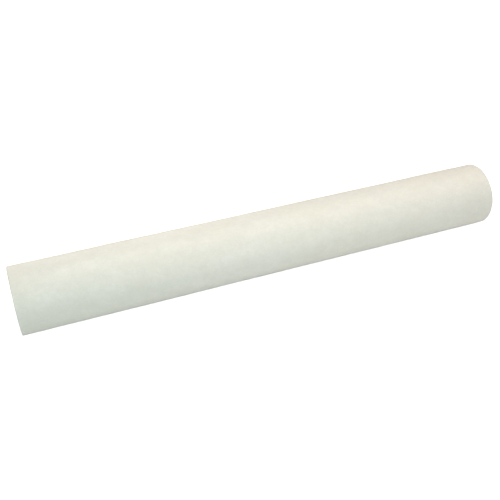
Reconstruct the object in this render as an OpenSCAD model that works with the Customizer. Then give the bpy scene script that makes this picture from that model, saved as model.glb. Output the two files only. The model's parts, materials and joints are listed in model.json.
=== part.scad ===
// Full-length round foam roller for massage and floor exercise.
// A laminated log of closed-cell polyethylene foam: an extruded rod in the middle,
// foam sheets heat-bonded round it one ply at a time, and a smooth outer skin sheet.
// The roller lies on the floor along X, with the origin on the floor line below its middle.

/* [Roller] */
// Overall length, cut square at both ends
roller_length = 914; // [300:1:1200]
// Outside diameter over the skin
roller_d = 120; // [100:1:160]
// Rounding of the skin's outer edge at each end
end_round = 2; // [1:0.5:3]

/* [Lamination] */
// Number of foam sheets bonded between the rod and the skin
ply_count = 6; // [3:1:8]
// Diameter of the extruded rod that the sheets are wound on
core_rod_d = 36; // [24:1:44]
// Diameter of the hole that the winding mandrel leaves in the rod
mandrel_hole_d = 10; // [6:1:14]
// Thickness of the outer skin sheet
skin_t = 3; // [2.5:0.5:5]

/* [Bond lines] */
// Chamfer on the cut edges of each ply, which shows as rings on the ends
edge_break = 0.6; // [0.2:0.1:0.8]
// Width across the square bar that cuts each lengthwise weld groove
weld_bar = 1.2; // [0.6:0.2:1.6]
// Turn of the skin's weld from the top, towards the back
skin_weld_angle = 138; // [100:1:170]
// Turn from one ply's weld to the next
weld_step = 137.5; // [40:0.5:180]

/* [Hidden] */
$fn = 128;
roller_r = roller_d / 2;
skin_inner_r = roller_r - skin_t;
core_rod_r = core_rod_d / 2;
mandrel_hole_r = mandrel_hole_d / 2;
ply_t = (skin_inner_r - core_rod_r) / ply_count;
end_x = roller_length / 2;
through_cut = roller_length + 10;

function ply_name(i) = str("foam_ply_", i);
function ply_inner_r(i) = core_rod_r + (i - 1) * ply_t;

// Turns a shape made upright about Z into one that lies on the floor along X.
// The side that faced -X then faces up, and the side that faced +Y stays at the back.
module lying() {
    translate([0, 0, roller_r]) rotate([0, 90, 0]) children();
}

// Cross-section of a tube wall on one side of the axis, with all four edges broken.
module wall_profile(inner_r, outer_r, edge) {
    polygon([
        [inner_r + edge, -end_x],
        [outer_r - edge, -end_x],
        [outer_r, -end_x + edge],
        [outer_r, end_x - edge],
        [outer_r - edge, end_x],
        [inner_r + edge, end_x],
        [inner_r, end_x - edge],
        [inner_r, -end_x + edge]
    ]);
}

// What a round edge of radius r leaves over in the corner of a square one.
module round_edge_waste(r) {
    difference() {
        square(r + 1);
        circle(r);
    }
}

// Cross-section of the skin: broken edges inside and round edges outside.
module skin_profile() {
    difference() {
        wall_profile(skin_inner_r, roller_r + 1, edge_break);
        translate([roller_r, -end_x]) square([2, roller_length]);
        for (end = [0, 1]) mirror([0, end])
            translate([roller_r - end_round, end_x - end_round])
                round_edge_waste(end_round);
    }
}

// Lengthwise V groove on a ply's outer face, where the sheet's two edges meet and are welded.
module weld_groove(outer_r, turn_from_top) {
    rotate([0, 0, 180 - turn_from_top])
        translate([outer_r, 0, 0])
            rotate([0, 0, 45])
                cube([weld_bar, weld_bar, through_cut], center = true);
}

// Extruded foam rod with the mandrel's hole through it.
module core_rod() {
    color([0.96, 0.95, 0.91]) lying()
        rotate_extrude() wall_profile(mandrel_hole_r, core_rod_r, edge_break);
}

// One foam sheet bent into a tube and bonded to what it goes round.
module foam_ply(i) {
    inner_r = ply_inner_r(i);
    outer_r = inner_r + ply_t;
    color(i % 2 == 0 ? [0.95, 0.95, 0.92] : [0.93, 0.93, 0.90]) lying()
        difference() {
            rotate_extrude() wall_profile(inner_r, outer_r, edge_break);
            weld_groove(outer_r, skin_weld_angle + i * weld_step);
        }
}

// Smooth outer sheet that the user lies on.
module outer_skin() {
    color([0.97, 0.96, 0.92]) lying()
        difference() {
            rotate_extrude() skin_profile();
            weld_groove(roller_r, skin_weld_angle);
        }
}

core_rod();
for (i = [1:ply_count]) foam_ply(i);
outer_skin();
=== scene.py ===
"""Looks of a laminated white foam roller: skin sheet, six plies and a core rod, all closed-cell foam.

Each piece is a closed tube swept round the roller's axis, with the relief of its foam in the mesh.
A turn angle is measured from the top of the roller towards its back. Lengths are in metres.
"""

import itertools
import json
import math

import bpy
import numpy as np
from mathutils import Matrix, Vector


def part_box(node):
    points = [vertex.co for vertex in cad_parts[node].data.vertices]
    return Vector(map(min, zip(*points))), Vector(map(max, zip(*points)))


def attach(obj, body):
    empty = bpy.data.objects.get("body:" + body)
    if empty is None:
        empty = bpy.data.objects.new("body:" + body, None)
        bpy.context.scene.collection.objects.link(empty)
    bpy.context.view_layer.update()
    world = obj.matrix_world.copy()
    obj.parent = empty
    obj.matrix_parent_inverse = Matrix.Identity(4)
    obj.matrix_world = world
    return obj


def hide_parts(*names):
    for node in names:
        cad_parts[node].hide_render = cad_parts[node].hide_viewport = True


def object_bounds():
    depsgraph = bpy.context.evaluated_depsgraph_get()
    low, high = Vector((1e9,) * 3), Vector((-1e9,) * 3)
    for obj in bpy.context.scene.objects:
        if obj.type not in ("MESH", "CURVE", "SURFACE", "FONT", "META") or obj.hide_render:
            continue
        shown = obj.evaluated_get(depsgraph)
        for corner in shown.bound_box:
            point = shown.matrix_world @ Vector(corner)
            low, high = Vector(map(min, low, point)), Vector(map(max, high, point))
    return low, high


MM = 0.001

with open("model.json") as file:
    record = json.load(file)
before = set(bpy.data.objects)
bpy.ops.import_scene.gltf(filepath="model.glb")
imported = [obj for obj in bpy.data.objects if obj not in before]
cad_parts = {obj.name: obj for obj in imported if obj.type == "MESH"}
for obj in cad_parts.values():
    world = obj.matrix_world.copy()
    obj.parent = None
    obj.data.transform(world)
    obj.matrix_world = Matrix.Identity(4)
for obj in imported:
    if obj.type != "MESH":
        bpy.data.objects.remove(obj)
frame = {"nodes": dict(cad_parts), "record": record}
cad_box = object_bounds()

# ---------------------------------------------------------------- sizes taken from the frame

MOUNTS = {mount["name"]: mount for mount in frame["record"]["mounts"]}
AXIS_Z = MOUNTS["outer_surface"]["pos_m"][2]
ROLLER_R = MOUNTS["outer_surface"]["dims"]["r_mm"] * MM
HOLE_R = MOUNTS["mandrel_hole"]["dims"]["r_mm"] * MM
HALF_LENGTH = (cad_box[1].x - cad_box[0].x) / 2
ROLLER_D = 2 * ROLLER_R
PLY_NODES = sorted(name for name in frame["nodes"] if name.startswith("foam_ply_"))

# Where the sheets' lengthwise welds are, and how far each is turned from the one outside it
SKIN_WELD_TURN = math.radians(138)
WELD_STEP = math.radians(137.5)

# Each piece stays this far inside its solid where it meets a neighbour
BOND_GAP = 0.04 * MM

# ---------------------------------------------------------------- noise in the foam

# Random values repeat after this many lattice steps each way
LATTICE = 64


def lumps(points, size, seed):
    """Smooth noise from -1 to 1 at each point, with lumps about one size across."""
    values = np.random.default_rng(seed).uniform(-1, 1, (LATTICE,) * 3)
    scaled = points / size
    base = np.floor(scaled).astype(int)
    blend = scaled - base
    blend = blend * blend * (3 - 2 * blend)
    total = np.zeros(len(points))
    for step in itertools.product((0, 1), repeat=3):
        share = np.where(step, blend, 1 - blend).prod(axis=1)
        total += share * values[tuple(((base + step) % LATTICE).T)]
    return total


def cell_distance(points, size, seed):
    """Distance from each point to the nearest of a jittered lattice of cell centres, in sizes."""
    jitter = np.random.default_rng(seed).uniform(0, 1, (LATTICE,) * 3 + (3,))
    scaled = points / size
    base = np.floor(scaled).astype(int)
    nearest = np.full(len(points), np.inf)
    for step in itertools.product((-1, 0, 1), repeat=3):
        cell = base + step
        centre = cell + jitter[tuple((cell % LATTICE).T)]
        nearest = np.minimum(nearest, ((scaled - centre) ** 2).sum(axis=1))
    return np.sqrt(nearest)


def bump_at(distance, width):
    """1 at distance 0, falling off smoothly over about one width."""
    return np.exp(-((distance / width) ** 2))


# ---------------------------------------------------------------- tube outlines


def stretch(start, end, step):
    """Evenly spaced points from start up to, but without, end."""
    start, end = np.array(start), np.array(end)
    count = max(1, math.ceil(np.linalg.norm(end - start) / step))
    return [start + (end - start) * i / count for i in range(count)]


def corner(centre, radius, angle, step):
    """A quarter turn clockwise in (along, radius), from angle in degrees, without its last point."""
    count = max(2, math.ceil(radius * math.pi / 2 / step))
    turns = [math.radians(angle - 90 * i / count) for i in range(count)]
    return [np.array(centre) + radius * np.array((math.cos(t), math.sin(t))) for t in turns]


def tube_outline(inner_r, outer_r, inner_edge, outer_edge, end_step, outer_step, inner_step):
    """A tube wall's outline as a closed loop of (along, radius), from the inner edge of the -X end."""
    h = HALF_LENGTH
    inner_flat, outer_flat = inner_r + inner_edge, outer_r - outer_edge
    points = stretch((-h, inner_flat), (-h, outer_flat), end_step)
    points += corner((-h + outer_edge, outer_flat), outer_edge, 180, end_step)
    points += stretch((-h + outer_edge, outer_r), (h - outer_edge, outer_r), outer_step)
    points += corner((h - outer_edge, outer_flat), outer_edge, 90, end_step)
    points += stretch((h, outer_flat), (h, inner_flat), end_step)
    points += corner((h - inner_edge, inner_flat), inner_edge, 0, end_step)
    points += stretch((h - inner_edge, inner_r), (-h + inner_edge, inner_r), inner_step)
    points += corner((-h + inner_edge, inner_flat), inner_edge, -90, end_step)
    return np.array(points)


def outline_normals(outline):
    """The outward direction at each point of a closed (along, radius) loop."""
    tangent = np.roll(outline, -1, axis=0) - np.roll(outline, 1, axis=0)
    normal = np.column_stack((-tangent[:, 1], tangent[:, 0]))
    return normal / np.linalg.norm(normal, axis=1, keepdims=True)


# How many turns are packed round a weld, and how strongly they crowd towards its middle
PACKED_TURNS = 15
PACKING = 1.6


def turns_round(radius, step, weld_turn, weld_reach):
    """Turn angles at about one step of arc, packed closely within weld_reach of the weld."""
    reach = weld_reach / radius
    packed = [reach * math.copysign(abs(t) ** PACKING, t) for t in np.linspace(-1, 1, PACKED_TURNS)]
    count = math.ceil((2 * math.pi - 2 * reach) * radius / step)
    spread = [reach + (2 * math.pi - 2 * reach) * i / count for i in range(1, count)]
    return weld_turn + np.array(packed + spread)


class Tube:
    """The points of one tube wall: a grid of outline points by turn angles, welded or in one piece."""

    def __init__(self, outline, turns, weld_turn=None):
        normals = outline_normals(outline)
        self.shape = (len(outline), len(turns))
        self.along, self.turn = (g.ravel() for g in np.meshgrid(outline[:, 0], turns, indexing="ij"))
        self.radius = np.repeat(outline[:, 1], len(turns))
        self.normal = np.repeat(normals, len(turns), axis=0)
        self.end_part = self.normal[:, 0] ** 2
        self.outer_part = np.clip(self.normal[:, 1], 0, 1)
        self.from_end = HALF_LENGTH - np.abs(self.along)
        self.from_weld = self.arc_from(weld_turn)
        self.points = self.place(self.along, self.radius)

    def arc_from(self, weld_turn):
        """Each point's distance round the tube from its weld, which is endless without a weld."""
        if weld_turn is None:
            return np.full(len(self.turn), np.inf)
        past = self.turn - weld_turn
        return np.abs(past - np.round(past / math.tau) * math.tau) * self.radius

    def place(self, along, radius):
        """Points in the row frame at these distances along and from the roller's axis."""
        across = radius * np.sin(self.turn)
        up = AXIS_Z + radius * np.cos(self.turn)
        return np.column_stack((along, across, up))

    def raised(self, height):
        """The tube's points after each has moved outwards by its height."""
        along = self.along + height * self.normal[:, 0]
        radius = self.radius + height * self.normal[:, 1]
        return self.place(along, radius)

    def faces(self):
        """Quads between neighbouring outline points and turns, both of which close on themselves."""
        index = np.arange(self.shape[0] * self.shape[1]).reshape(self.shape)
        ahead = np.roll(index, -1, axis=0)
        quads = (index, np.roll(index, -1, axis=1), np.roll(ahead, -1, axis=1), ahead)
        return np.stack([q.ravel() for q in quads], axis=1)


def tube_object(name, tube, points, marks, material):
    """A smooth mesh object from a tube's moved points, with marks stored as named attributes."""
    mesh = bpy.data.meshes.new(name)
    mesh.from_pydata(points.tolist(), [], tube.faces().tolist())
    for mark, values in marks.items():
        layer = mesh.attributes.new(mark, "FLOAT", "POINT")
        layer.data.foreach_set("value", values.astype(np.float32))
    mesh.shade_smooth()
    mesh.materials.append(material)
    obj = bpy.data.objects.new(name, mesh)
    bpy.context.scene.collection.objects.link(obj)
    return obj


# ---------------------------------------------------------------- relief of each kind of foam

# Spacing of the mesh on the skin, on cut ends and on plain walls that a neighbour hides
SKIN_STEP = 2.15 * MM
SKIN_TURN_STEP = 0.9 * SKIN_STEP
SKIN_END_STEP = 0.5 * MM
CUT_STEP = 0.62 * MM
WALL_STEP = 300 * MM

# The skin's sheet is drawn out along the roller, and its bumps with it
DRAWN_OUT = np.array((0.6, 1, 1))
# Each kind of bump on the skin: its height, its size and its seed
SKIN_BUMPS = [(0.26 * MM, 55 * MM, 11), (0.1 * MM, 21 * MM, 12), (0.12 * MM, 8 * MM, 13)]
SKIN_CELL = 5.2 * MM
SKIN_CELL_DEPTH = 0.15 * MM

# The skin's weld: a melted line with a raised lip on each side
SKIN_WELD_WIDTH = 0.5 * MM
SKIN_WELD_DEPTH = 0.55 * MM
SKIN_WELD_WANDER = 0.35 * MM
SKIN_WANDER_SIZE = 14 * MM
LIP_PLACE = 1.7 * MM
LIP_WIDTH = 0.7 * MM
LIP_HEIGHT = 0.12 * MM

# Wear along the skin's rims
RIM_WIDTH = 3 * MM
NICK_SIZE = 5 * MM
NICK_LEVEL = 0.25
NICK_DEPTH = 0.35 * MM

# Cut ends: opened cells, saw marks, and how far joints and welds sink
CUT_CELL = 2.3 * MM
COARSE_CELL = 1.9 * CUT_CELL
COARSE_SHARE = 0.7
# How far an opened cell reaches from its centre, in cells
FINE_REACH = 0.62
COARSE_REACH = 0.42
SKIN_PIT_DEPTH = 0.22 * MM
PLY_PIT_DEPTH = 0.3 * MM
SAW_PITCH = 3.4 * MM
SAW_SLANT = 0.35
SAW_WANDER = 2.5 * MM
SAW_WANDER_SIZE = 30 * MM
SAW_DEPTH = 0.04 * MM
BOW_DEPTH = 0.16 * MM
BOW_SIZE = 26 * MM
JOINT_DEPTH = 0.3 * MM
JOINT_SHARPNESS = 9
# The melted foam of a joint has fewer open cells, by this share
JOINT_CLOSED = 0.6
PLY_WELD_WIDTH = 0.28 * MM
PLY_WELD_DEPTH = 0.5 * MM
PLY_WELD_WANDER = 0.3 * MM
PLY_WANDER_SIZE = 9 * MM


def cut_pits(tube, seed):
    """How deep each point lies in the cells that the saw opened, from 0 to 1 + COARSE_SHARE."""
    fine = cell_distance(tube.points, CUT_CELL, seed)
    coarse = cell_distance(tube.points, COARSE_CELL, seed + 1)
    fine_depth = np.clip(1 - fine / FINE_REACH, 0, 1)
    coarse_depth = np.clip(1 - coarse / COARSE_REACH, 0, 1)
    return fine_depth + COARSE_SHARE * coarse_depth


def saw_marks(tube, seed):
    """Shallow parallel bands that a bandsaw leaves across a cut end, from -1 to 1."""
    slant = tube.points[:, 2] + SAW_SLANT * tube.points[:, 1]
    wander = SAW_WANDER * lumps(tube.points, SAW_WANDER_SIZE, seed)
    return np.sin((slant + wander) / SAW_PITCH * math.tau)


def skin_relief(tube):
    """Height of the skin over its plain tube, and the marks that its material reads."""
    sheet = tube.points * DRAWN_OUT
    bumps = sum(height * lumps(sheet, size, seed) for height, size, seed in SKIN_BUMPS)
    cells = cell_distance(sheet, SKIN_CELL, 14)
    wander = SKIN_WELD_WANDER * lumps(tube.points, SKIN_WANDER_SIZE, 15)
    weld = bump_at(tube.from_weld - wander, SKIN_WELD_WIDTH) * tube.outer_part
    lips = bump_at(tube.from_weld - LIP_PLACE, LIP_WIDTH) * tube.outer_part
    rim = bump_at(tube.from_end, RIM_WIDTH)
    nicks = rim * np.clip(lumps(tube.points, NICK_SIZE, 16) - NICK_LEVEL, 0, 1)
    pits = cut_pits(tube, 17) * tube.end_part
    height = bumps - SKIN_CELL_DEPTH * cells - SKIN_WELD_DEPTH * weld + LIP_HEIGHT * lips
    height = height * tube.outer_part - NICK_DEPTH * nicks - SKIN_PIT_DEPTH * pits
    marks = {"weld": weld, "rim": rim + nicks, "pit": pits}
    return height, marks


def cut_relief(tube, inner_r, outer_r, seed):
    """Height of a bonded piece's cut ends, and the marks that its material reads."""
    across = np.clip((tube.radius - inner_r) / (outer_r - inner_r) * 2 - 1, -1, 1)
    joint = np.abs(across) ** JOINT_SHARPNESS
    wander = PLY_WELD_WANDER * lumps(tube.points, PLY_WANDER_SIZE, seed)
    weld = bump_at(tube.from_weld - wander, PLY_WELD_WIDTH) * tube.end_part
    pits = cut_pits(tube, seed + 1) * tube.end_part * (1 - JOINT_CLOSED * joint)
    bow = BOW_DEPTH * lumps(tube.points, BOW_SIZE, seed + 3) + SAW_DEPTH * saw_marks(tube, 21)
    sunk = JOINT_DEPTH * joint + PLY_WELD_DEPTH * weld + PLY_PIT_DEPTH * pits
    height = (bow - BOW_DEPTH - sunk) * tube.end_part
    marks = {"pit": pits, "weld": weld, "joint": joint * tube.end_part}
    return height, marks


# ---------------------------------------------------------------- shader nodes


class Shader:
    """One node material and its Principled shader."""

    def __init__(self, name):
        self.material = bpy.data.materials.new(name)
        self.material.use_nodes = True
        self.tree = self.material.node_tree
        self.principled = self.tree.nodes["Principled BSDF"]
        self.place = self.tree.nodes.new("ShaderNodeTexCoord").outputs["Object"]

    def node(self, kind, inputs, **settings):
        """Adds a node, with each input set to a value or linked to an output."""
        made = self.tree.nodes.new("ShaderNode" + kind)
        for name, value in settings.items():
            setattr(made, name, value)
        self.feed(made, inputs)
        return made

    def feed(self, target, inputs):
        """Sets or links inputs of a node, each named by its label or its number."""
        for name, value in inputs.items():
            if isinstance(value, bpy.types.NodeSocket):
                self.tree.links.new(value, target.inputs[name])
            else:
                target.inputs[name].default_value = value

    def noise(self, size, detail=2.0, stretch_x=1.0):
        """Noise from 0 to 1, with lumps about one size across."""
        place = self.node("Mapping", {"Vector": self.place, "Scale": (stretch_x, 1, 1)})
        made = self.node("TexNoise", {"Vector": place.outputs[0], "Scale": 0.5 / size, "Detail": detail})
        return made.outputs["Fac"]

    def cells(self, size, stretch_x=1.0):
        """Distance to the nearest cell centre, in cells."""
        place = self.node("Mapping", {"Vector": self.place, "Scale": (stretch_x, 1, 1)})
        made = self.node("TexVoronoi", {"Vector": place.outputs[0], "Scale": 1 / size})
        return made.outputs["Distance"]

    def mark(self, name):
        """A value stored on the mesh under this name."""
        return self.node("Attribute", {}, attribute_name=name).outputs["Fac"]

    def spread(self, value, low, high, start=0.3, end=0.7):
        """value's stretch from start to end, as low to high."""
        made = self.node(
            "MapRange", {"Value": value, 1: start, 2: end, 3: low, 4: high}, interpolation_type="SMOOTHSTEP"
        )
        return made.outputs["Result"]

    def maths(self, operation, first, second):
        """Two values combined by a Math node."""
        return self.node("Math", {0: first, 1: second}, operation=operation).outputs[0]

    def add(self, *values):
        """The sum of several values."""
        total = values[0]
        for value in values[1:]:
            total = self.maths("ADD", total, value)
        return total

    def tint(self, colour, shade, share):
        """colour turned towards shade by a share from 0 to 1."""
        made = self.node("Mix", {"Factor": share, 6: colour, 7: shade}, data_type="RGBA")
        return made.outputs[2]

    def bump(self, height, depth, strength, under=None):
        """A bumped normal from a height of 0 to 1 that stands for a depth in metres."""
        inputs = {"Height": height, "Distance": depth, "Strength": strength}
        if under is not None:
            inputs["Normal"] = under
        return self.node("Bump", inputs).outputs["Normal"]


# Colours of clean foam, of its darker mottle and the painted shade in its opened cells and pits, of melted
# welds and of the handled rims
WHITE_FOAM = (0.90, 0.895, 0.86, 1)
CREAM_FOAM = (0.86, 0.84, 0.775, 1)
# Darker mottle on all the foams, and painted shade in the pits on the skin's cut ends
MOTTLE_AND_PIT_SHADE = (0.74, 0.735, 0.69, 1)
# Painted shade inside the opened cells of sawn foam
OPEN_CELL_SHADE = (0.66, 0.65, 0.60, 1)
MELTED_FOAM = (0.70, 0.68, 0.60, 1)
HANDLED_FOAM = (0.72, 0.70, 0.63, 1)


FOAM_IOR = 1.5
SOAKED_TINT = (1.0, 0.9, 0.72)


def set_foam_body(shader, subsurface, depth):
    """What all the foams share: the light that soaks into them, and plastic's refraction."""
    settings = {
        "Subsurface Weight": subsurface,
        "Subsurface Radius": SOAKED_TINT,
        "Subsurface Scale": depth,
        "IOR": FOAM_IOR,
    }
    shader.feed(shader.principled, settings)


def skin_foam_material():
    """Heat-smoothed outer sheet: satin, with the cells under it showing as a faint mottle, and painted
    shade in the opened cells of its cut ends.
    """
    shader = Shader("skin_foam_satin")
    cells = shader.cells(2.6 * MM, stretch_x=0.7)
    fine_cells = shader.cells(1.1 * MM, stretch_x=0.8)
    mottle = shader.noise(4 * MM, detail=3)
    patches = shader.noise(11 * MM, detail=2)
    streaks = shader.noise(5 * MM, detail=2, stretch_x=0.08)
    clouds = shader.noise(45 * MM, detail=3)
    weld, rim, pit = (shader.mark(name) for name in ("weld", "rim", "pit"))

    colour = shader.tint(WHITE_FOAM, CREAM_FOAM, shader.spread(clouds, 0, 0.55))
    colour = shader.tint(colour, MOTTLE_AND_PIT_SHADE, shader.spread(cells, 0, 0.2, 0.25, 0.8))
    colour = shader.tint(colour, MOTTLE_AND_PIT_SHADE, shader.spread(patches, 0, 0.2))
    colour = shader.tint(colour, MOTTLE_AND_PIT_SHADE, shader.spread(mottle, 0, 0.22))
    colour = shader.tint(colour, CREAM_FOAM, shader.spread(streaks, 0, 0.25))
    colour = shader.tint(colour, HANDLED_FOAM, shader.spread(rim, 0, 0.25, 0.5, 1.5))
    # Painted shade in the saw-opened cells of the skin's cut ends, darkest where the pits are deepest
    colour = shader.tint(colour, MOTTLE_AND_PIT_SHADE, shader.spread(pit, 0, 0.6, 0, 1))
    colour = shader.tint(colour, MELTED_FOAM, shader.spread(weld, 0, 0.55, 0, 1))

    rough = shader.add(
        0.36,
        shader.spread(mottle, 0, 0.12),
        shader.spread(clouds, 0, 0.08),
        shader.spread(pit, 0, 0.3, 0, 1),
        shader.spread(weld, 0, -0.15, 0, 1),
    )
    bumped = shader.bump(mottle, 0.5 * MM, 0.6)
    bumped = shader.bump(cells, 0.42 * MM, 0.6, under=bumped)
    bumped = shader.bump(fine_cells, 0.2 * MM, 0.6, under=bumped)
    set_foam_body(shader, 0.1, 3 * MM)
    shader.feed(shader.principled, {"Base Color": colour, "Roughness": rough, "Normal": bumped})
    return shader.material


def cut_foam_material(name, base, cell_size, cell_shade):
    """Sawn foam: matte, with open cells darkened by painted shade, and a denser melted line where sheets
    meet.
    """
    shader = Shader(name)
    cells = shader.cells(cell_size)
    fine_cells = shader.cells(0.45 * cell_size)
    clouds = shader.noise(18 * MM, detail=3)
    grain = shader.noise(0.8 * MM, detail=2)
    weld, joint, pit = (shader.mark(mark) for mark in ("weld", "joint", "pit"))

    colour = shader.tint(base, CREAM_FOAM, shader.spread(clouds, 0, 0.5))
    # Painted shade in the opened cells, darker where the pits are deeper
    colour = shader.tint(colour, OPEN_CELL_SHADE, shader.spread(pit, 0, 0.3, 0, 1))
    colour = shader.tint(colour, MOTTLE_AND_PIT_SHADE, shader.spread(grain, 0, 0.25))
    # Painted shade in the hollow middle of each cell, fading out towards its walls
    colour = shader.tint(colour, OPEN_CELL_SHADE, shader.spread(cells, cell_shade, 0, 0.05, 0.5))
    colour = shader.tint(colour, MELTED_FOAM, shader.spread(joint, 0, 0.7, 0.1, 0.9))
    colour = shader.tint(colour, MELTED_FOAM, shader.spread(weld, 0, 0.8, 0, 1))

    rough = shader.add(0.72, shader.spread(grain, 0, 0.15), shader.spread(joint, 0, -0.2, 0.1, 0.9))
    bumped = shader.bump(cells, 0.7 * MM, 0.8)
    bumped = shader.bump(fine_cells, 0.3 * MM, 0.7, under=bumped)
    set_foam_body(shader, 0.08, 2 * MM)
    shader.feed(shader.principled, {"Base Color": colour, "Roughness": rough, "Normal": bumped})
    return shader.material


# ---------------------------------------------------------------- pieces


# How the edges of the pieces are rounded, and how near a weld the mesh gets finer
SKIN_END_ROUND = 2 * MM
SKIN_INNER_EDGE = 0.3 * MM
BONDED_EDGE = 0.2 * MM
HOLE_EDGE = 0.6 * MM
HOLE_STEP = 12 * MM
SKIN_WELD_REACH = 3.4 * MM
PLY_WELD_REACH = 1.2 * MM

# The rod has no joint at its hole: its inner joint would be this far inside the hole
ROD_JOINT_INSET = 2 * MM

# Seeds of the cut ends: the rod has its own, and each ply has its number times a step
ROD_SEED = 900
PLY_SEED_STEP = 100


def outer_radius(node):
    """The largest distance from the roller's axis that a CAD node reaches."""
    low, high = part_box(node)
    return max(AXIS_Z - low.z, high.z - AXIS_Z, high.y, -low.y)


def declare(obj, node):
    """Puts a finished foam piece in its CAD node's place."""
    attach(obj, "root")
    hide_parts(node)


def make_skin(inner_r):
    """The outer skin sheet, pressed flat where the roller rests on the floor."""
    edges = (SKIN_INNER_EDGE, SKIN_END_ROUND)
    outline = tube_outline(inner_r, ROLLER_R, *edges, SKIN_END_STEP, SKIN_STEP, WALL_STEP)
    turns = turns_round(ROLLER_R, SKIN_TURN_STEP, SKIN_WELD_TURN, SKIN_WELD_REACH)
    tube = Tube(outline, turns, SKIN_WELD_TURN)
    height, marks = skin_relief(tube)
    points = tube.raised(height)
    points[:, 2] = np.maximum(points[:, 2], 0)
    skin = tube_object("skin_sheet", tube, points, marks, skin_foam_material())
    declare(skin, "outer_skin")


def make_ply(number, node, inner_r, outer_r, material):
    """One bonded foam sheet between its neighbours."""
    weld_turn = SKIN_WELD_TURN + number * WELD_STEP
    edges = (BONDED_EDGE, BONDED_EDGE)
    outline = tube_outline(inner_r, outer_r, *edges, CUT_STEP, WALL_STEP, WALL_STEP)
    turns = turns_round(outer_r, CUT_STEP, weld_turn, PLY_WELD_REACH)
    tube = Tube(outline, turns, weld_turn)
    height, marks = cut_relief(tube, inner_r, outer_r, PLY_SEED_STEP * number)
    ply = tube_object(f"ply_sheet_{number}", tube, tube.raised(height), marks, material)
    declare(ply, node)


def make_rod(outer_r):
    """The extruded rod in the middle, with the hole that the winding mandrel left."""
    edges = (HOLE_EDGE, BONDED_EDGE)
    outline = tube_outline(HOLE_R, outer_r, *edges, CUT_STEP, WALL_STEP, HOLE_STEP)
    tube = Tube(outline, turns_round(outer_r, CUT_STEP, 0, PLY_WELD_REACH))
    height, marks = cut_relief(tube, HOLE_R - ROD_JOINT_INSET, outer_r, ROD_SEED)
    material = cut_foam_material("rod_foam_matte", WHITE_FOAM, 1.2 * MM, 0.32)
    rod = tube_object("centre_rod", tube, tube.raised(height), marks, material)
    declare(rod, "core_rod")


def make_roller():
    """All the foam pieces, from the rod outwards."""
    inner_r = outer_radius("core_rod")
    make_rod(inner_r - BOND_GAP)
    materials = [
        cut_foam_material("ply_foam_odd", WHITE_FOAM, 1.5 * MM, 0.35),
        cut_foam_material("ply_foam_even", CREAM_FOAM, 1.8 * MM, 0.32),
    ]
    for number, node in enumerate(PLY_NODES, start=1):
        outer_r = outer_radius(node)
        make_ply(number, node, inner_r + BOND_GAP, outer_r - BOND_GAP, materials[(number + 1) % 2])
        inner_r = outer_r
    make_skin(inner_r + BOND_GAP)


# ---------------------------------------------------------------- studio

FLOOR_SIZE = 60 * HALF_LENGTH
FLOOR_DROP = 0.2 * MM
FLOOR_COLOUR = (0.72, 0.72, 0.72, 1)
FLOOR_ROUGHNESS = 0.9
FLOOR_GLOW = 0.92
BACKDROP_GLOW = 1.0
ROOM_LIGHT = (0.15, 0.15, 0.15, 1)
ROLLER_CENTRE = Vector((0, 0, AXIS_Z))

NEUTRAL = (1.0, 1.0, 0.95)
CREAM = (1.0, 0.98, 0.87)
WARM = (1.0, 0.75, 0.65)
COOL = (0.7, 1.0, 0.98)

# Each soft light: name, where it stands, where along the roller it aims, width, colour and watts
LIGHTS = [
    ("overhead", (0.0, 0.1, 1.6), 0.0, 1.0, CREAM, 13),
    ("over_right", (1.2, 0.0, 1.8), 0.0, 1.2, WARM, 8),
    ("front", (0.3, -1.2, 0.45), 0.2, 0.8, NEUTRAL, 4),
    ("front_left", (-0.8, -1.3, 0.8), -0.2, 0.6, COOL, 5),
    ("back_fill", (-0.2, 1.8, 0.6), 0.0, 1.4, NEUTRAL, 10),
    ("left_fill", (-2.2, 0.2, 0.3), -0.4, 1.0, NEUTRAL, 12),
    ("right_fill", (2.2, 0.2, 0.3), 0.4, 1.0, NEUTRAL, 10),
]


def make_floor():
    """A plain pale floor, which glows to the camera alone so that it shows nearly white."""
    shader = Shader("floor_paper")
    seen = shader.node("LightPath", {}).outputs["Is Camera Ray"]
    settings = {
        "Base Color": FLOOR_COLOUR,
        "Roughness": FLOOR_ROUGHNESS,
        "Emission Color": (1, 1, 1, 1),
        "Emission Strength": shader.maths("MULTIPLY", seen, FLOOR_GLOW),
    }
    shader.feed(shader.principled, settings)
    mesh = bpy.data.meshes.new("floor")
    reach = FLOOR_SIZE / 2
    corners = [(-reach, -reach), (reach, -reach), (reach, reach), (-reach, reach)]
    mesh.from_pydata([(x, y, -FLOOR_DROP) for x, y in corners], [], [(0, 1, 2, 3)])
    mesh.materials.append(shader.material)
    floor = bpy.data.objects.new("floor", mesh)
    bpy.context.scene.collection.objects.link(floor)


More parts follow.
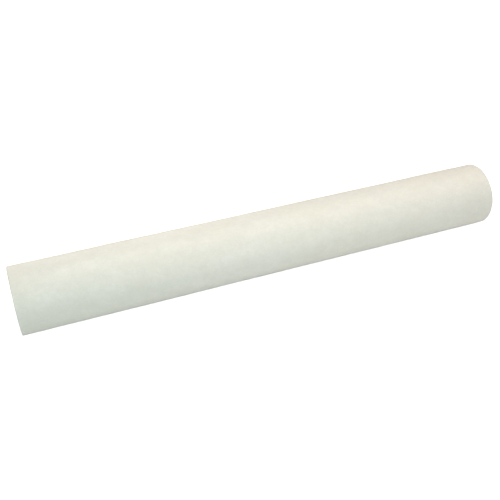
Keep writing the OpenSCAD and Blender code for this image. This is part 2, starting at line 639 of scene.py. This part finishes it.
def make_room():
    """Soft light from all round, behind a backdrop that shows as bright as the floor."""
    world = bpy.data.worlds.new("room")
    world.use_nodes = True
    nodes, links = world.node_tree.nodes, world.node_tree.links
    light = nodes["Background"]
    light.inputs["Color"].default_value = ROOM_LIGHT
    backdrop = nodes.new("ShaderNodeBackground")
    backdrop.inputs["Color"].default_value = (1, 1, 1, 1)
    backdrop.inputs["Strength"].default_value = BACKDROP_GLOW
    mix = nodes.new("ShaderNodeMixShader")
    links.new(nodes.new("ShaderNodeLightPath").outputs["Is Camera Ray"], mix.inputs[0])
    links.new(light.outputs[0], mix.inputs[1])
    links.new(backdrop.outputs[0], mix.inputs[2])
    links.new(mix.outputs[0], nodes["World Output"].inputs["Surface"])
    bpy.context.scene.world = world


def make_light(name, place, aim_x, width, colour, power):
    """A square soft light aimed at one place along the roller."""
    lamp = bpy.data.lights.new(name, "AREA")
    lamp.size = width
    lamp.color = colour
    lamp.energy = power
    obj = bpy.data.objects.new(name, lamp)
    obj.location = place
    aim = Vector((aim_x, 0, AXIS_Z)) - obj.location
    obj.rotation_euler = aim.to_track_quat("-Z", "Y").to_euler()
    obj.visible_camera = False
    bpy.context.scene.collection.objects.link(obj)


# Where the camera looks from, as a turn from straight in front and a height above the horizon
VIEW_TURN = math.radians(-21.18)
VIEW_HEIGHT = math.radians(37.69)
VIEW_DISTANCE = 10.777 * ROLLER_D
AIM_OFFSET = Vector((-0.322, -0.100, 0)) * ROLLER_D
LENS = 50.9
SENSOR_WIDTH = 36


def make_camera():
    """The camera, which looks down at the roller from the front left."""
    camera = bpy.data.cameras.new("camera")
    camera.lens = LENS
    camera.sensor_width = SENSOR_WIDTH
    level = math.cos(VIEW_HEIGHT)
    back = Vector((math.sin(VIEW_TURN) * level, -math.cos(VIEW_TURN) * level, math.sin(VIEW_HEIGHT)))
    obj = bpy.data.objects.new("camera", camera)
    obj.location = ROLLER_CENTRE + AIM_OFFSET + back * VIEW_DISTANCE
    obj.rotation_euler = back.to_track_quat("Z", "Y").to_euler()
    bpy.context.scene.collection.objects.link(obj)
    bpy.context.scene.camera = obj


make_camera()
make_roller()
make_floor()
make_room()
for light in LIGHTS:
    make_light(*light)
bpy.context.scene.view_settings.view_transform = "Standard"
